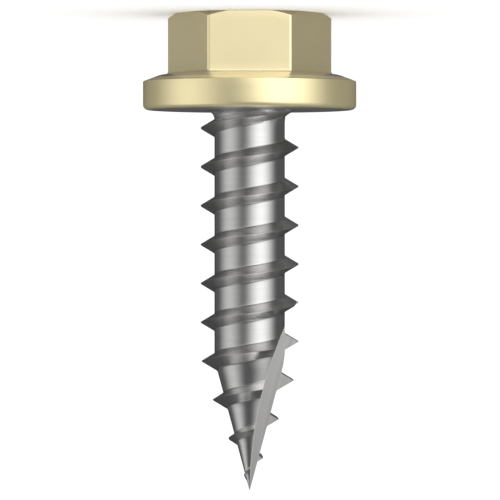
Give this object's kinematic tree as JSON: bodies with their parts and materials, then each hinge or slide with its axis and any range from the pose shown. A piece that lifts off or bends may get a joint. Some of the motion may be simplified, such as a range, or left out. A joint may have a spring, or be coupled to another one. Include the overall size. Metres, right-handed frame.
{
  "type": "flanged hex head screw",
  "caption": "Wood screw with a painted hexagon head on a round flange, a coarse right-hand thread, and a sharp point with one milled flute.",
  "frame": {"origin": "on the screw's axis, in the plane of the bearing face under the flange", "axes": "+Z along the screw's axis, from the head towards the point; -Y is the side that the flute's flat faces, and the flute lies on the -X side; the screw stands on its crown"},
  "size_m": [0.014, 0.014, 0.0312],
  "materials": {
    "head_paint": "champagne enamel over the crown, hexagon, flange top and rim, slightly glossy",
    "steel": "bare steel with a smooth rolled shank, a satin milled flute and a darker bearing face"
  },
  "bodies": {
    "root": {"screw": "steel"}
  },
  "joints": []
}
